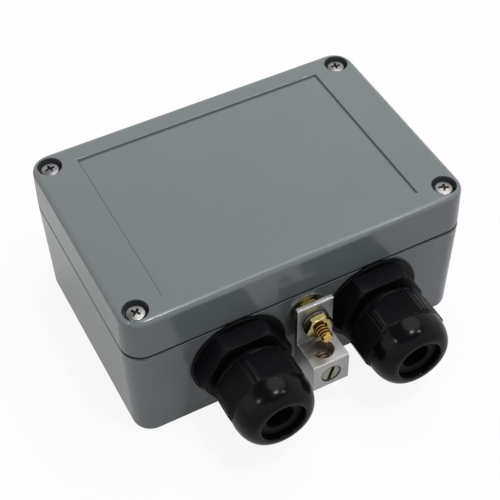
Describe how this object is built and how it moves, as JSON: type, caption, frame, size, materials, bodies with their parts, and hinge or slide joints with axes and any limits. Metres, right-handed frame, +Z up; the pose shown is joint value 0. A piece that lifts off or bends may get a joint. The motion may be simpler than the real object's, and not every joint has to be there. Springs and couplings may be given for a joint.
{
  "type": "outdoor ethernet surge protector",
  "caption": "Sealed grey case with two black cable glands and a brass-stud earth lug; inside, two network sockets on a surge board.",
  "frame": {"origin": "centre of the flat underside of the case, between the four wall screw holes", "axes": "+X along the case, +Z up from the underside to the lid; the glands and the earth lug face -Y"},
  "size_m": [0.12, 0.1115, 0.055],
  "materials": {
    "case_plastic": "fine moulded grain, satin",
    "black_nylon": "moulded nylon, satin",
    "soft_rubber": "matt rubber",
    "stainless_steel": "bright turned steel",
    "plain_steel": "zinc plated steel",
    "tinned_copper": "tin plated sheet",
    "brass_metal": "machined brass",
    "lug_alloy": "sawn and tumbled extrusion, satin",
    "wire_sheath": "green wire sheath with a yellow stripe",
    "board_laminate": "green solder mask",
    "block_plastic": "moulded terminal block",
    "tube_metal": "nickel plated electrodes on white ceramic",
    "black_moulding": "black moulding compound",
    "contact_gold": "gold plated spring wire"
  },
  "bodies": {
    "base": {"enclosure_base": "case_plastic", "earth_stud": "brass_metal", "wall_washer": "plain_steel", "wall_nut": "brass_metal", "tooth_washer": "plain_steel", "earth_lug": "lug_alloy", "split_washer": "plain_steel", "lug_nut": "brass_metal", "ring_terminal": "tinned_copper", "earth_wire": "wire_sheath", "circuit_board": "board_laminate", "terminal_block": "block_plastic", "terminal_screw": "plain_steel", "thread_insert_1": "brass_metal", "board_screw_1": "stainless_steel", "gas_tube_1": "tube_metal", "diode_1": "black_moulding", "thread_insert_2": "brass_metal", "board_screw_2": "stainless_steel", "gas_tube_2": "tube_metal", "diode_2": "black_moulding", "thread_insert_3": "brass_metal", "board_screw_3": "stainless_steel", "gas_tube_3": "tube_metal", "diode_3": "black_moulding", "thread_insert_4": "brass_metal", "board_screw_4": "stainless_steel", "gas_tube_4": "tube_metal", "diode_4": "black_moulding", "gland_body_left": "black_nylon", "gland_washer_left": "soft_rubber", "gland_locknut_left": "black_nylon", "jack_shield_left": "plain_steel", "jack_body_left": "black_moulding", "jack_contacts_left": "contact_gold", "gland_body_right": "black_nylon", "gland_washer_right": "soft_rubber", "gland_locknut_right": "black_nylon", "jack_shield_right": "plain_steel", "jack_body_right": "black_moulding", "jack_contacts_right": "contact_gold"},
    "lid": {"enclosure_lid": "case_plastic", "lid_seal": "soft_rubber"},
    "clamp": {"clamp_screw": "plain_steel"},
    "keeper_1": {"screw_keeper_1": "black_nylon"},
    "screw_1": {"lid_screw_1": "stainless_steel"},
    "keeper_2": {"screw_keeper_2": "black_nylon"},
    "screw_2": {"lid_screw_2": "stainless_steel"},
    "keeper_3": {"screw_keeper_3": "black_nylon"},
    "screw_3": {"lid_screw_3": "stainless_steel"},
    "keeper_4": {"screw_keeper_4": "black_nylon"},
    "screw_4": {"lid_screw_4": "stainless_steel"},
    "seal_left": {"gland_seal_left": "soft_rubber"},
    "nut_left": {"gland_nut_left": "black_nylon"},
    "seal_right": {"gland_seal_right": "soft_rubber"},
    "nut_right": {"gland_nut_right": "black_nylon"}
  },
  "joints": [
    {"name": "lid_lift", "type": "slide", "parent": "base", "child": "lid", "axis": [0, 0, 1], "range_m": [0, 0.07]},
    {"name": "clamp_drive", "type": "slide", "parent": "base", "child": "clamp", "axis": [0, -1, 0], "range_m": [-0.0001, 0.0055]},
    {"name": "screw_1_rise", "type": "slide", "parent": "lid", "child": "keeper_1", "axis": [0, 0, 1], "range_m": [0, 0.006]},
    {"name": "screw_1_turn", "type": "hinge", "parent": "keeper_1", "child": "screw_1", "pos_m": [-0.0538, -0.0341, 0.0514], "axis": [0, 0, 1], "range_deg": [0, 3086]},
    {"name": "screw_2_rise", "type": "slide", "parent": "lid", "child": "keeper_2", "axis": [0, 0, 1], "range_m": [0, 0.006]},
    {"name": "screw_2_turn", "type": "hinge", "parent": "keeper_2", "child": "screw_2", "pos_m": [0.0538, -0.0341, 0.0514], "axis": [0, 0, 1], "range_deg": [0, 3086]},
    {"name": "screw_3_rise", "type": "slide", "parent": "lid", "child": "keeper_3", "axis": [0, 0, 1], "range_m": [0, 0.006]},
    {"name": "screw_3_turn", "type": "hinge", "parent": "keeper_3", "child": "screw_3", "pos_m": [-0.0538, 0.0341, 0.0514], "axis": [0, 0, 1], "range_deg": [0, 3086]},
    {"name": "screw_4_rise", "type": "slide", "parent": "lid", "child": "keeper_4", "axis": [0, 0, 1], "range_m": [0, 0.006]},
    {"name": "screw_4_turn", "type": "hinge", "parent": "keeper_4", "child": "screw_4", "pos_m": [0.0538, 0.0341, 0.0514], "axis": [0, 0, 1], "range_deg": [0, 3086]},
    {"name": "nut_left_advance", "type": "slide", "parent": "base", "child": "seal_left", "axis": [0, -1, 0], "range_m": [0, 0.0075]},
    {"name": "nut_left_turn", "type": "hinge", "parent": "seal_left", "child": "nut_left", "pos_m": [-0.0242, -0.0605, 0.0236], "axis": [0, -1, 0], "range_deg": [0, 1801]},
    {"name": "nut_right_advance", "type": "slide", "parent": "base", "child": "seal_right", "axis": [0, -1, 0], "range_m": [0, 0.0075]},
    {"name": "nut_right_turn", "type": "hinge", "parent": "seal_right", "child": "nut_right", "pos_m": [0.0242, -0.0605, 0.0236], "axis": [0, -1, 0], "range_deg": [0, 1801]}
  ],
  "couplings": [
    {"joint": "screw_1_turn", "follows": "screw_1_rise", "rad_per_m": 8976},
    {"joint": "screw_2_turn", "follows": "screw_2_rise", "rad_per_m": 8976},
    {"joint": "screw_3_turn", "follows": "screw_3_rise", "rad_per_m": 8976},
    {"joint": "screw_4_turn", "follows": "screw_4_rise", "rad_per_m": 8976},
    {"joint": "nut_left_turn", "follows": "nut_left_advance", "rad_per_m": 4188.8},
    {"joint": "nut_right_turn", "follows": "nut_right_advance", "rad_per_m": 4188.8}
  ]
}
